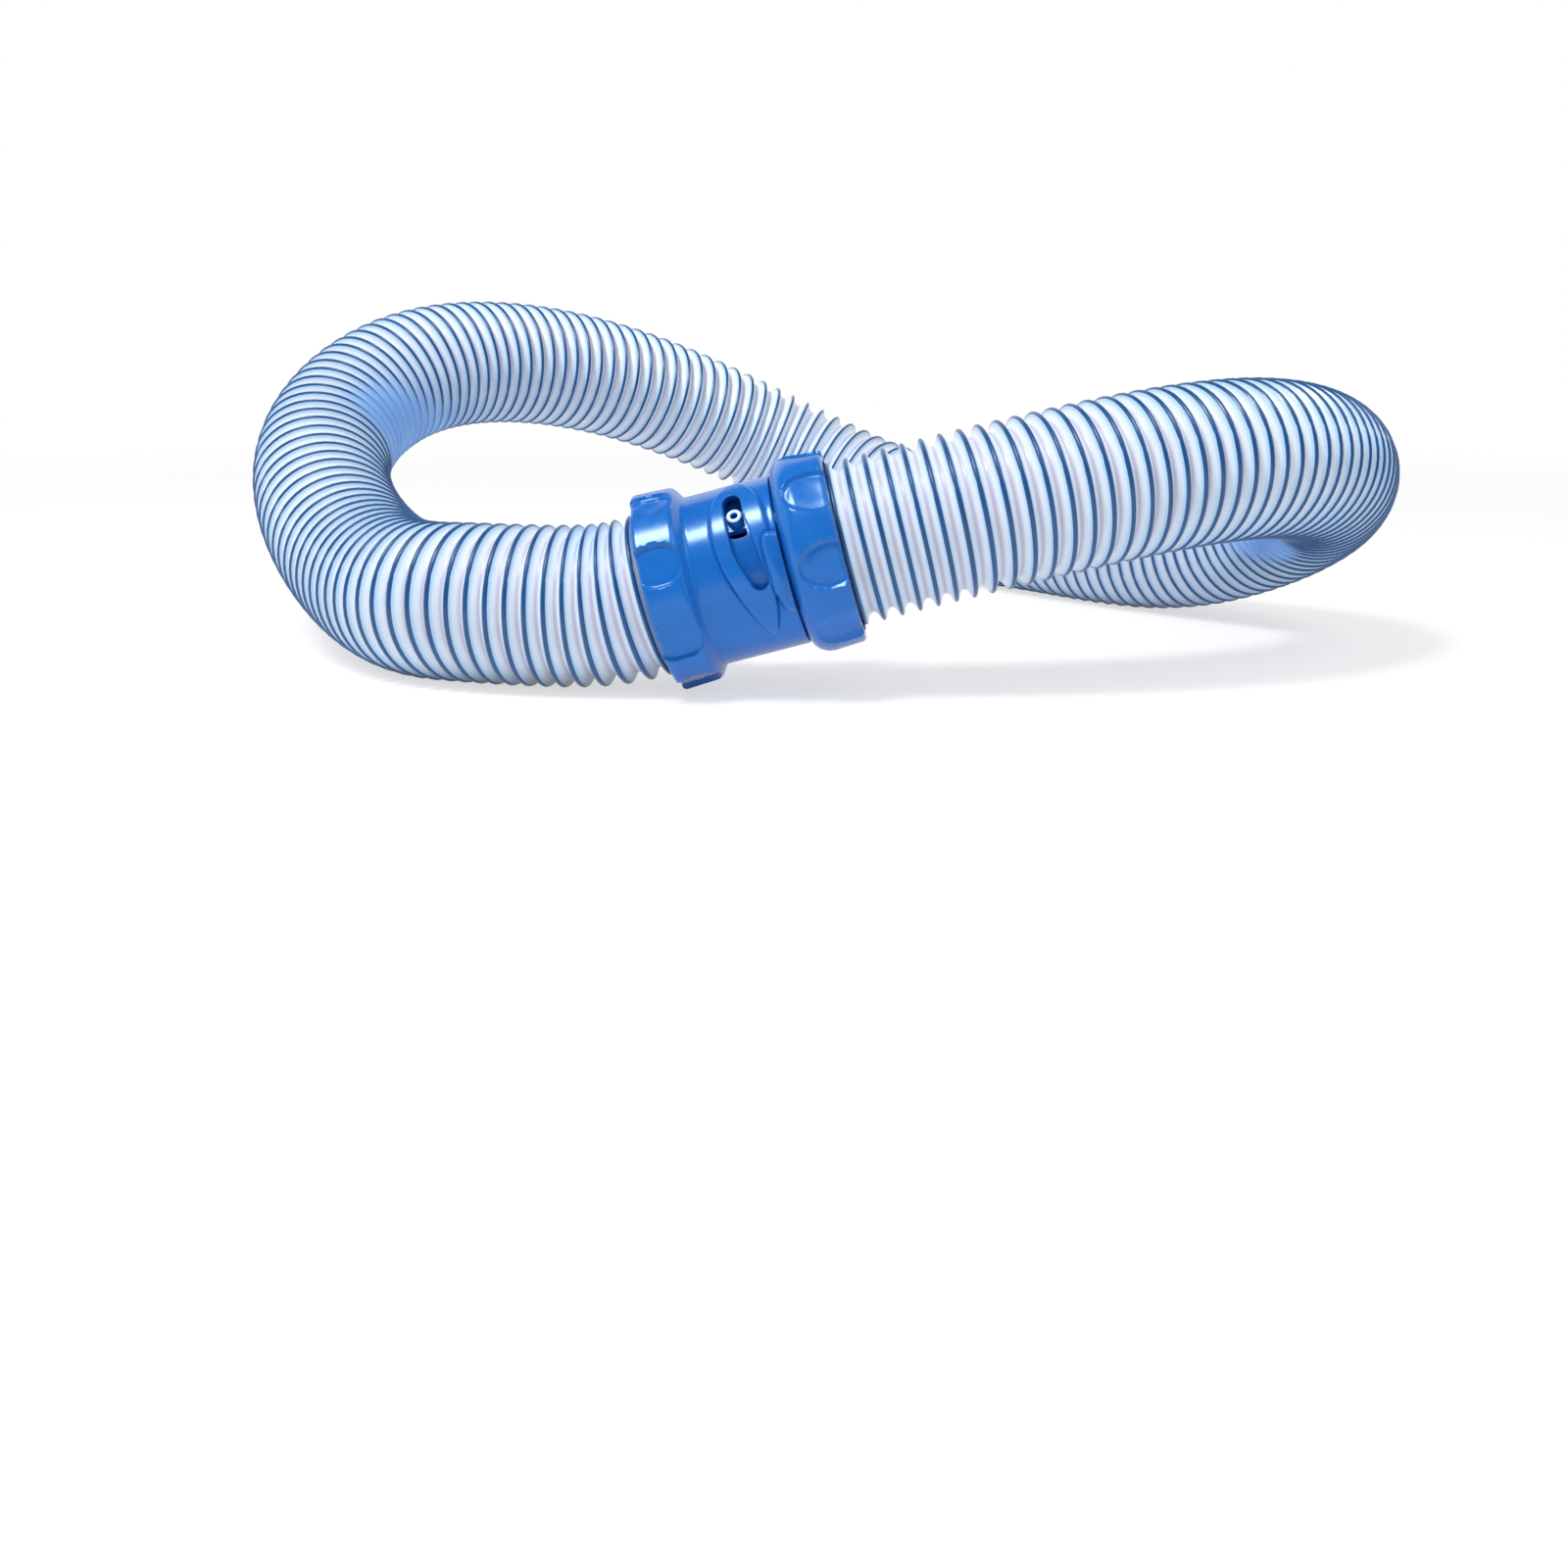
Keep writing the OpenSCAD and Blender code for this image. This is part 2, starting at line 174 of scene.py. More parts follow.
# How far apart the ribs stand along the hose, as (distance in m, spacing): the hose is squeezed
# and pulled apart. Only the ratios count, as the ribs' number is fixed.
RIB_SPACING = [
    (0.000, 5.0), (0.060, 4.5), (0.100, 4.5), (0.125, 5.4), (0.150, 7.0), (0.195, 7.0),
    (0.225, 5.4), (0.255, 4.7), (0.300, 4.7), (0.330, 5.0), (0.360, 5.4), (0.390, 5.9),
    (0.420, 6.3), (0.450, 6.7), (0.500, 7.0), (0.560, 7.0), (0.600, 5.5), (0.630, 4.8),
    (0.680, 4.4), (0.845, 4.4), (0.870, 4.8), (0.950, 5.0)]


# ---------------------------------------------------------------- making shapes

def take_up(piece):
    """Leaves one piece selected and active, ready for an operator."""
    bpy.ops.object.select_all(action="DESELECT")
    piece.select_set(True)
    bpy.context.view_layer.objects.active = piece


def new_piece(name, verts, edges, faces):
    """A piece at the origin with a mesh of its own."""
    mesh = bpy.data.meshes.new(name)
    mesh.from_pydata(verts, edges, faces)
    piece = bpy.data.objects.new(name, mesh)
    bpy.context.scene.collection.objects.link(piece)
    return piece


def smooth_off(piece, angle):
    """Shades a piece smooth, but for edges sharper than an angle in degrees."""
    take_up(piece)
    bpy.ops.object.shade_smooth_by_angle(angle=math.radians(angle))
    return piece


def face_outwards(piece, into_triangles=False):
    """Turns the faces of a closed shape outwards."""
    take_up(piece)
    bpy.ops.object.mode_set(mode="EDIT")
    bpy.ops.mesh.select_all(action="SELECT")
    if into_triangles:
        bpy.ops.mesh.quads_convert_to_tris()
    bpy.ops.mesh.normals_make_consistent(inside=False)
    bpy.ops.object.mode_set(mode="OBJECT")


def turned(name, outline, steps, closed=True):
    """An outline of (radius, place along the axis) points, spun round the axis."""
    count = len(outline)
    piece = new_piece(name, [(r, 0, z) for r, z in outline],
                      [(i, (i + 1) % count) for i in range(count if closed else count - 1)], [])
    take_up(piece)
    bpy.ops.object.mode_set(mode="EDIT")
    bpy.ops.mesh.select_all(action="SELECT")
    bpy.ops.mesh.spin(steps=steps, angle=2 * math.pi, center=(0, 0, 0), axis=(0, 0, 1))
    bpy.ops.mesh.select_all(action="SELECT")
    bpy.ops.mesh.remove_doubles(threshold=0.000001)
    bpy.ops.mesh.normals_make_consistent(inside=False)
    bpy.ops.object.mode_set(mode="OBJECT")
    return piece


def cut(piece, cutter):
    """Cuts one piece out of another and throws the cutter away."""
    take_up(piece)
    modifier = piece.modifiers.new("cut", "BOOLEAN")
    modifier.operation = "DIFFERENCE"
    modifier.solver = "EXACT"
    modifier.object = cutter
    bpy.ops.object.modifier_apply(modifier="cut")
    bpy.data.objects.remove(cutter, do_unlink=True)


def spaced(outline, step):
    """The same open outline with points no further apart than a step."""
    points = [outline[0]]
    for (r0, z0), (r1, z1) in zip(outline, outline[1:]):
        parts = max(1, math.ceil(math.hypot(r1 - r0, z1 - z0) / step))
        points += [(r0 + (r1 - r0) * k / parts, z0 + (z1 - z0) * k / parts)
                   for k in range(1, parts + 1)]
    return points


def corner(r, z, radius, start, end, steps=8):
    """A rounded corner of an outline, about its centre."""
    angles = [math.radians(start + (end - start) * i / steps) for i in range(steps + 1)]
    return [(r + radius * math.cos(a), z + radius * math.sin(a)) for a in angles]


def rise_in(t):
    """A quarter-round shoulder, from 0 at its foot to 1 at its top."""
    t = min(max(t, 0.0), 1.0)
    return math.sqrt(1 - (1 - t) ** 2)


def ease(t):
    """From 0 to 1 with a soft start and a soft end."""
    t = min(max(t, 0.0), 1.0)
    return t * t * (3 - 2 * t)


def place_inside(outline, x, y):
    """How far a point is inside a closed outline, and the outline's nearest point.

    Outside the outline the distance is below 0.
    """
    nearest, foot = 1.0, (x, y)
    inside = False
    for (ax, ay), (bx, by) in zip(outline, outline[1:] + outline[:1]):
        dx, dy = bx - ax, by - ay
        f = ((x - ax) * dx + (y - ay) * dy) / (dx * dx + dy * dy)
        f = min(max(f, 0.0), 1.0)
        distance = math.hypot(x - ax - f * dx, y - ay - f * dy)
        if distance < nearest:
            nearest, foot = distance, (ax + f * dx, ay + f * dy)
        if (ay > y) != (by > y) and x < ax + (y - ay) * dx / dy:
            inside = not inside
    return (nearest if inside else -nearest), foot


def angle_above_front(x, y):
    """The angle of a place round the coupling: 0 at its front, 90 at its top."""
    return math.degrees(math.atan2(-x, -y))


def away(a, b):
    """The turn from angle b to angle a, between -180 and 180 degrees."""
    return (a - b + 180) % 360 - 180


def at_angle(angle):
    """Turns the X axis to stand out of the coupling at an angle above its front."""
    return Matrix.Rotation(math.radians(270 - angle), 4, "Z")


# ---------------------------------------------------------------- the hose

def ramp(table, x):
    """The value at x on the straight lines between a table's points."""
    for (x0, y0), (x1, y1) in zip(table, table[1:]):
        if x <= x1:
            break
    return y0 + (y1 - y0) * (x - x0) / (x1 - x0)


def groove_places():
    """Where the grooves lie along the hose, from its first end to its last."""
    steps = 1500
    step = hose_run.length / steps
    passed = [0.0]
    for i in range(steps):
        passed.append(passed[-1] + 1 / ramp(RIB_SPACING, (i + 0.5) * step))
    table = [(count / passed[-1] * RIBS, i * step) for i, count in enumerate(passed)]
    return [ramp(table, i) for i in range(RIBS + 1)]


def rib_profile(low, high):
    """One rib between two grooves: places along the hose, radius and how blue it is.

    The last value is 1 on the blue crest, 0 on the milky flank and -1 in the groove, where it sets
    the painted shade.
    """
    crest = (low + high) / 2
    foot = (high - low) * 0.33
    half = [(0.0, CREST_R, 1.0), (0.0004, 0.0233, 1.0), (0.0008, 0.0226, 0.5),
            (0.0012, 0.0217, 0.0), (foot, 0.0208, -0.35)]
    before = [(crest - d, r, c) for d, r, c in reversed(half[1:])]
    return before + [(crest + d, r, c) for d, r, c in half] + [(high, ROOT_R, -1.0)]


HOSE_SIDES = 52
# The two halves of the mould meet 30 degrees above the front and on the other side. There the
# crests dip a little, and their blue is paled a little: a painted glint along the seam.
PARTINGS = (150, 330)
PARTING_DIP = 0.00012
PARTING_GLINT = 0.85
# Ribs up to this spacing show all of a bend's squeeze in the painted bend colours
CLOSE_SPACING = 5.4


def build_hose():
    """The ribbed wall, as rings round the route, closed over its ends down to the bore."""
    rings = [(0.0, ROOT_R, -1.0)]
    grooves = groove_places()
    for low, high in zip(grooves, grooves[1:]):
        rings += rib_profile(low, high)
    bm = bmesh.new()
    layers = [bm.verts.layers.float.new(name) for name in ("crest", "squeeze")]
    rows = [hose_ring(bm, s, radius, layers, blue) for s, radius, blue in rings]
    for groove in reversed(grooves[::2]):
        rows.append(hose_ring(bm, groove, BORE_R, layers, 0.0))
    for a, b in zip(rows, rows[1:] + rows[:1]):
        for j in range(HOSE_SIDES):
            k = (j + 1) % HOSE_SIDES
            bm.faces.new((a[j], b[j], b[k], a[k]))
    bmesh.ops.recalc_face_normals(bm, faces=bm.faces)
    piece = new_piece("ribbed_hose_wall", [], [], [])
    bm.to_mesh(piece.data)
    bm.free()
    return smooth_off(piece, 80)


def squeeze_shown(s):
    """How much of a bend's squeeze shows in the painted bend colours: less where the ribs stand
    apart.
    """
    return min(1.0, max(0.4, 1.0 - 0.6 * (ramp(RIB_SPACING, s) - CLOSE_SPACING)))


def hose_ring(bm, s, radius, layers, blue):
    """One ring of vertices round the route, which lies flat where it meets the floor."""
    centre = hose_run.at(s)
    shown = squeeze_shown(s)
    along = hose_run.along(s)
    bend = hose_run.bend(s)
    side = along.cross(Vector((0, 0, 1))).normalized()
    up = side.cross(along)
    crest, squeeze = layers
    ring = []
    for j in range(HOSE_SIDES):
        angle = 360 * j / HOSE_SIDES
        parting = min(abs(away(angle, p)) for p in PARTINGS) < 180 / HOSE_SIDES
        on_seam = parting and blue > 0
        r = radius - (PARTING_DIP if on_seam else 0.0)
        out = side * math.cos(math.radians(angle)) + up * math.sin(math.radians(angle))
        point = centre + out * r
        point.z = max(point.z, 0.0)
        vert = bm.verts.new(point)
        # On the seam the crest's blue is paled, a painted glint
        vert[crest] = blue * (PARTING_GLINT if on_seam else 1.0)
        vert[squeeze] = max(0.0, bend.dot(out) * r) * shown
        ring.append(vert)
    return ring


# ---------------------------------------------------------------- the female cuff

SOCKET_R = 0.0220
BARREL_R = 0.0244
GRIP_R = 0.0286
GRIP_LEN = 0.0104
# Both cuffs are bored to this for their sleeves
SLEEVE_R = 0.0250
PAD_H = 0.0013
PAD_R = BARREL_R + PAD_H
PAD_SHOULDER = 0.0009
PEG_Z = FEMALE_LEN - 0.0107
PEG_ANGLE = 45.5
SLOT_W = 0.0050
SLOT_MIDDLE = PEG_ANGLE - TWIST / 2
SLOT_TOP = 62.0
WINDOW_LOW = 31.5
# The eight thumb scoops of each grip: the first one's angle and the middle along the axis, half
# of their turn and length, their depth, and how square and how slanting they are
RING_SCOOPS = {"first": 22.5, "middle_z": 0.0056, "half_turn": 12.8, "half_len": 0.0066,
               "depth": 0.0018, "square": 2.7, "lean": 0.0}
COLLAR_SCOOPS = {"first": -1.0, "middle_z": COUPLING_LEN - 0.0035, "half_turn": 14.0,
                 "half_len": 0.0090, "depth": 0.0019, "square": 2.0, "lean": 0.3}
SCOOP_SPACING = 45

# The raised pad round the slot, seen from outside on the flat, in mm from the peg's place
PAD_OUTLINE = [(x / 1000, PEG_Z + z / 1000) for x, z in (
    (-20.7, 1), (-19.8, -1.9), (-16.6, -4.9), (-12, -6.8), (-7, -7.4), (-1, -7.2),
    (5, -6.3), (11, -4.5), (17, -1.9), (21, 0.7), (22.4, 2.9), (20.5, 4.7), (14, 6.7),
    (6, 8), (-4, 8.7), (-12, 8.3), (-17, 6.1), (-19.9, 3.7))]


def rounded(outline, times):
    """Cuts the corners of a closed outline, so that it runs as one smooth curve."""
    for _ in range(times):
        cornered = []
        for (ax, ay), (bx, by) in zip(outline, outline[1:] + outline[:1]):
            cornered += [(ax * 0.75 + bx * 0.25, ay * 0.75 + by * 0.25),
                         (ax * 0.25 + bx * 0.75, ay * 0.25 + by * 0.75)]
        outline = cornered
    return outline


PAD_EDGE = rounded(PAD_OUTLINE, 2)
# The hood over the peg's way in, on the same flat: it starts round and runs out at the mouth
HOOD_EDGE = rounded([(x / 1000, z / 1000) for x, z in (
    (-2.3, 38.4), (-2.4, 36), (-0.6, 34.3), (4, 34.2), (9, 34.3), (14, 34.6), (17.5, 35.8),
    (19, 38.5), (18.5, 42), (-2, 42))], 2)
HOOD_H = 0.0030
HOOD_SHOULDER = 0.0020
# The hood is lower by this share at the mouth, and falls over the last part of the barrel
HOOD_FALL = 0.35
HOOD_FALL_Z = 0.0366
HOOD_FALL_LEN = 0.0026
# A shallow crease runs round the foot of every raised form
CREASE_W = 0.0005
CREASE_H = 0.0003
# A vertex this close to a foot line moves onto it. Cutting fails where this is much wider, as
# vertices from both sides then meet.
SNAP_REACH = 0.00010
# The grip ring ends and the plain barrel starts between these two places
RING_END = 0.0135
BARREL_START = 0.0150
# The raised forms of one side lie within this turn of the slot's middle
FORMS_TURN = 80


def female_outline():
    """The plain turned cuff, before its scoops, pads, hoods and slots."""
    taper = 0.0005
    edge = 0.0012
    shoulder = 0.0020
    fillet = 0.0016
    fillet_z = GRIP_LEN + 0.0044
    rim = 0.0005
    chamfer = 0.0004
    floor_z = FEMALE_DEPTH + 2 * FEMALE_WEB_T
    web_z = FEMALE_DEPTH + FEMALE_WEB_T
    outside = corner(GRIP_R - edge, edge, edge, -90, 0)
    outside += corner(GRIP_R - taper - shoulder, GRIP_LEN, shoulder, 0, 65)
    outside += corner(BARREL_R + fillet, fillet_z, fillet, 245, 180)
    outside += corner(BARREL_R - rim, FEMALE_LEN - rim, rim, 0, 90, 4)
    inside = [(SOCKET_R + chamfer, FEMALE_LEN), (SOCKET_R, FEMALE_LEN - chamfer),
              (SOCKET_R, floor_z), (BORE_R, floor_z), (BORE_R, web_z), (SLEEVE_R, web_z),
              (SLEEVE_R, 0.0)]
    return spaced(outside, 0.00030) + inside


def thumb_scoop(angle, z, first, middle_z, half_turn, half_len, depth, square, lean):
    """How deep a thumb scoop is at a place: a dish with a clear rim and a nearly flat floor."""
    turn = away(angle, first) % SCOOP_SPACING
    turn = min(turn, SCOOP_SPACING - turn)
    across = turn / half_turn
    length = abs(z - middle_z) / half_len
    from_rim = 1 - (across ** square + length ** square) ** (1 / square)
    floor = depth * (1 + lean * (z - middle_z) / half_len)
    return floor * (0.75 * rise_in(from_rim / 0.18) + 0.25 * ease(from_rim))


def raised(flat, z):
    """How high the pad and the hood stand at a place; a place beside a foot line moves onto it."""
    height = 0.0
    hood = HOOD_H * (1 - HOOD_FALL * ease((z - HOOD_FALL_Z) / HOOD_FALL_LEN))
    for outline, top, shoulder in (
            (PAD_EDGE, PAD_H, PAD_SHOULDER), (HOOD_EDGE, hood, HOOD_SHOULDER)):
        depth, foot = place_inside(outline, flat, z)
        if abs(depth) < SNAP_REACH:
            flat, z = foot
            depth = 0.0
        crease = CREASE_H * max(0.0, 1 - max(-depth, 0.0) / CREASE_W)
        height += (top - height + crease) * rise_in(depth / shoulder) - crease
    return height, flat, z


def shape_female(vert):
    """Raises the pads and hoods and presses the thumb scoops into the plain turned cuff."""
    x, y, z = vert.co
    r = math.hypot(x, y)
    if r < BARREL_R - 0.0003 or r <= SLEEVE_R and z < 0.0005:
        return
    angle = angle_above_front(x, y)
    if z < RING_END:
        r -= thumb_scoop(angle, z, **RING_SCOOPS)
    elif z > BARREL_START:
        side = 0 if abs(away(angle, 20)) < 90 else 180
        turn = away(angle, side)
        if abs(turn - SLOT_MIDDLE) < FORMS_TURN:
            flat = BARREL_R * math.sin(math.radians(SLOT_MIDDLE - turn))
            height, flat, z = raised(flat, min(z, FEMALE_LEN))
            r += height
            angle = SLOT_MIDDLE - math.degrees(math.asin(flat / BARREL_R)) + side
    vert.co = at_angle(angle) @ Vector((r, 0, z))


def slot_outline():
    """The peg's way, seen from outside on the flat: a crescent with a round top and low end."""
    half = SLOT_W / 2
    high = SLOT_TOP - math.degrees(math.asin(half / BARREL_R))
    low = PEG_ANGLE - TWIST
    # The left side runs straight down to this angle, and then bends towards the mouth
    bend = 24.0

    def on_flat(angle):
        return BARREL_R * math.sin(math.radians(SLOT_MIDDLE - angle))

    def left(angle):
        past = max(0.0, (bend - angle) / (bend - low))
        return PEG_Z - half + TRAVEL * past ** 1.6

    def right(angle):
        return PEG_Z + half + TRAVEL * max(0.0, (PEG_ANGLE - angle) / TWIST)

    steps = 24
    angles = [high + (low - high) * i / steps for i in range(steps + 1)]
    points = [(on_flat(a), left(a)) for a in angles]
    points += corner(on_flat(low), PEG_Z + TRAVEL, half, -80, 80, 12)
    points += [(on_flat(a), right(a)) for a in reversed(angles)]
    points += corner(on_flat(high), PEG_Z, half, 100, 260, 12)
    return points


def grown(outline, by):
    """An outline moved out by a distance, point by point."""
    moved = []
    count = len(outline)
    for i, (x, y) in enumerate(outline):
        ax, ay = outline[i - 1]
        bx, by_ = outline[(i + 1) % count]
        dx, dy = bx - ax, by_ - ay
        size = math.hypot(dx, dy)
        moved.append((x + dy / size * by, y - dx / size * by))
    return moved


def slot_cutter(turn):
    """Fills a slot and the room over it; it flares at the pad's face, to round the edge off."""
    outline = slot_outline()
    inside, outside = 0.010, 0.030
    # How far below the pad's face each level is, and how much wider than the slot
    levels = [(0.00062, 0.0), (0.00034, 0.00006), (0.00014, 0.00018),
              (0.00004, 0.00034), (-0.00002, 0.00048), (-0.0012, 0.0011)]
    verts = [(inside, x, z) for x, z in outline]
    for below, wider in levels:
        verts += [(math.sqrt((PAD_R - below) ** 2 - x * x), x, z)
                  for x, z in grown(outline, wider)]
    verts += [(outside, x, z) for x, z in grown(outline, wider)]
    count = len(outline)
    faces = [tuple(reversed(range(count))),
             tuple(range(count * (len(levels) + 1), count * (len(levels) + 2)))]
    for level in range(len(levels) + 1):
        for i in range(count):
            k = (i + 1) % count
            a = level * count
            faces.append((a + i, a + k, a + count + k, a + count + i))
    cutter = new_piece("slot_cutter", verts, [], faces)
    face_outwards(cutter)
    cutter.data.transform(at_angle(SLOT_MIDDLE + turn))
    return cutter


def block_cutter(angle, low, high):
    """A plain block between two corners, turned to an angle above the front."""
    bpy.ops.object.select_all(action="DESELECT")
    bpy.ops.mesh.primitive_cube_add(size=1.0)
    cutter = bpy.context.object
    size = [b - a for a, b in zip(low, high)]
    middle = [(a + b) / 2 for a, b in zip(low, high)]
    cutter.data.transform(Matrix.Translation(middle) @ Matrix.Diagonal((*size, 1)))
    cutter.data.transform(at_angle(angle))
    return cutter


def build_female_cuff():
    """Grip ring, socket barrel, pads, hoods and slots, in one moulding."""
    piece = turned("female_cuff_moulding", female_outline(), 480)
    for vert in piece.data.vertices:
        shape_female(vert)
    for turn in (0, 180):
        cut(piece, slot_cutter(turn))
        # The peg's way in from the mouth, under the hood
        cut(piece, block_cutter(
            PEG_ANGLE - TWIST + turn, (SOCKET_R - 0.001, -SLOT_W / 2, PEG_Z + TRAVEL + 0.0006),
            (BARREL_R + 0.0009, SLOT_W / 2, FEMALE_LEN + 0.002)))
    piece.data.transform(COUPLING)
    return smooth_off(piece, 40)


# ---------------------------------------------------------------- the male cuff and its pegs

SPIGOT_R = SOCKET_R - MOVE_GAP
SPIGOT_BORE_R = 0.0194
SPIGOT_Z = COLLAR_Z - 0.0244
COLLAR_R = 0.0279
COLLAR_CROWN = 0.0004
SEAL_Z = SPIGOT_Z + 0.0032
SEAL_D = 0.00144
SEAL_GAP = 0.00006
PEG_R = 0.0022


def male_outline():
    """The plain turned cuff, before its scoops, windows and peg holes."""
    groove_r = SOCKET_R - SEAL_GAP - SEAL_D
    groove_low = SEAL_Z - SEAL_D / 2 - 0.0001
    groove_high = SEAL_Z + SEAL_D / 2 + 0.0001
    tail_seat = 0.0185
    tip = 0.0006
    rim = 0.0015
    web_z = COLLAR_Z + COLLAR_WEB_T
    snap_z = COLLAR_Z - 0.0034
    spigot = [(SPIGOT_BORE_R, SPIGOT_Z), (SPIGOT_R - tip, SPIGOT_Z),
              (SPIGOT_R, SPIGOT_Z + tip), (SPIGOT_R, groove_low), (groove_r, groove_low),
              (groove_r, groove_high), (SPIGOT_R, groove_high), (SPIGOT_R, COLLAR_Z)]
    # The collar's edge at the seam is one quarter of an oval
    oval_len, oval_high = 0.0062, 0.0050
    collar = [(COLLAR_R + COLLAR_CROWN - oval_high * (1 - math.sin(math.radians(a))),
               COLLAR_Z + oval_len * (1 - math.cos(math.radians(a)))) for a in range(0, 91, 5)]
    collar += corner(COLLAR_R - rim, COUPLING_LEN - rim, rim, 0, 90)
    inside = [(SLEEVE_R, COUPLING_LEN), (SLEEVE_R, web_z), (tail_seat, web_z),
              (tail_seat, snap_z), (SPIGOT_BORE_R, snap_z)]
    return spigot + spaced(collar, 0.00032) + inside


def shape_male(vert):
    """Presses the thumb scoops into the plain turned collar."""
    x, y, z = vert.co
    r = math.hypot(x, y)
    if z < COLLAR_Z + 0.0005 or r < SLEEVE_R + 0.0002:
        return
    r -= thumb_scoop(angle_above_front(x, y), z, **COLLAR_SCOOPS)
    scale = r / math.hypot(x, y)
    vert.co = (x * scale, y * scale, z)


def window_cutter(angle_high, angle_low):
    """Fills one window of the spigot, from its bore out past its wall, with a round low end."""
    verts = []
    steps = 12
    straight = 0.65
    for i in range(steps + 1):
        angle = math.radians(270 - (angle_high + (angle_low - angle_high) * i / steps))
        past = max(0.0, (i / steps - straight) / (1 - straight))
        half = SLOT_W / 2 * math.sqrt(1 - 0.85 * past ** 2)
        for r in (SPIGOT_BORE_R - 0.001, SPIGOT_R + 0.001):
            for z in (PEG_Z - half, PEG_Z + half):
                verts.append((r * math.cos(angle), r * math.sin(angle), z))
    faces = [(0, 1, 3, 2), (4 * steps, 4 * steps + 2, 4 * steps + 3, 4 * steps + 1)]
    for i in range(steps):
        a = 4 * i
        for j, k in ((0, 1), (1, 3), (3, 2), (2, 0)):
            faces.append((a + k, a + j, a + 4 + j, a + 4 + k))
    cutter = new_piece("window_cutter", verts, [], faces)
    face_outwards(cutter, into_triangles=True)
    return cutter


def peg_place(turn):
    """Stands a shape that is turned about Z out of the spigot, where a peg is."""
    return (at_angle(PEG_ANGLE + turn) @ Matrix.Translation((0, 0, PEG_Z))
            @ Matrix.Rotation(math.radians(90), 4, "Y"))


def build_male_cuff():
    """Grip collar and spigot in one moulding, with windows and holes for the pegs."""
    piece = turned("male_cuff_moulding", male_outline(), 400)
    for vert in piece.data.vertices:
        shape_male(vert)
    beside_peg = math.degrees(math.asin((PEG_R + 0.0006) / SPIGOT_R))
    for turn in (0, 180):
        cut(piece, window_cutter(SLOT_TOP + turn, PEG_ANGLE + beside_peg + turn))
        cut(piece, window_cutter(PEG_ANGLE - beside_peg + turn, WINDOW_LOW + turn))
        bpy.ops.object.select_all(action="DESELECT")
        bpy.ops.mesh.primitive_cylinder_add(
            vertices=40, radius=PEG_R + 0.00005, depth=0.01, location=(0, 0, SPIGOT_R))
        hole = bpy.context.object
        hole.data.transform(peg_place(turn) @ Matrix.Translation((0, 0, SPIGOT_R)))
        hole.location = (0, 0, 0)
        cut(piece, hole)
    piece.data.transform(COUPLING)
    return smooth_off(piece, 40)


def build_pegs():
    """The two hollow lock pegs: short tubes with a full rim, coloured pale round its top."""
    foot = SPIGOT_BORE_R + 0.0004
    top = BARREL_R + 0.0003
    hole = 0.0010
    floor_t = 0.0010
    pale_rim_top_len = 0.0006
    wall = (PEG_R - hole) / 2
    outline = [(0.0, foot), (PEG_R, foot)]
    outline += corner(PEG_R - wall, top - wall, wall, 0, 180, 12)
    outline += [(hole, foot + floor_t), (0.0, foot + floor_t)]
    pegs = []
    for turn in (0, 180):
        peg = turned("peg", outline, 48, closed=False)
        # The top of each rim is coloured pale all round
        pale_rim_top = peg.data.attributes.new("pale_rim_top", "FLOAT", "POINT")
        for vert in peg.data.vertices:
            if math.hypot(vert.co.x, vert.co.y) > hole * 1.05:
                pale_rim_top.data[vert.index].value = ease((vert.co.z - top + pale_rim_top_len) / 0.0004)
        peg.data.transform(COUPLING @ peg_place(turn))
        pegs.append(peg)
    take_up(pegs[0])
    pegs[1].select_set(True)
    bpy.ops.object.join()
    pegs[0].name = "hollow_lock_pegs"
    return smooth_off(pegs[0], 50)


# ---------------------------------------------------------------- materials

def colour(hex_code):
    """An sRGB hex colour as the linear colour that a shader reads."""
    parts = [int(hex_code[i:i + 2], 16) / 255 for i in (1, 3, 5)]
    linear = [c / 12.92 if c <= 0.04045 else ((c + 0.055) / 1.055) ** 2.4 for c in parts]
    return (*linear, 1.0)


def node(tree, kind, inputs=None, **settings):
    """Adds a node with its settings; an input's value is a number, a colour or a socket."""
    new = tree.nodes.new(kind)
    for key, value in settings.items():
        setattr(new, key, value)
    for key, value in (inputs or {}).items():
        if isinstance(value, bpy.types.NodeSocket):
            tree.links.new(value, new.inputs[key])
        else:
            new.inputs[key].default_value = value
    return new


def start_material(name, **inputs):
    """A material, its nodes, its shader with the given constants, and the place on the object."""
    material = bpy.data.materials.new(name)
    material.use_nodes = True
    tree = material.node_tree
    shader = tree.nodes["Principled BSDF"]
    for key, value in inputs.items():
        shader.inputs[key.replace("_", " ")].default_value = value
    place = node(tree, "ShaderNodeTexCoord").outputs["Object"]
    return material, tree, shader, place


def speckle(tree, place, millimetres, detail=2.0):
    """Even random patches of about a given size; at a scale of 1 they are some 600 mm across."""
    return node(tree, "ShaderNodeTexNoise", {
        "Vector": place, "Scale": 600.0 / millimetres, "Detail": detail}).outputs["Fac"]


def blend_of(tree, factor, first, second):
    """A colour between two, each a hex code or a socket."""
    pick = [colour(c) if isinstance(c, str) else c for c in (first, second)]
    return node(tree, "ShaderNodeMix", {"Factor": factor, 6: pick[0], 7: pick[1]},
                data_type="RGBA").outputs[2]


def part_of(tree, value, low, high, least=0.0, most=1.0):
    """Maps a range of values to another, with soft ends."""
    return node(tree, "ShaderNodeMapRange", {
        "Value": value, "From Min": low, "From Max": high, "To Min": least, "To Max": most},
        interpolation_type="SMOOTHSTEP").outputs[0]


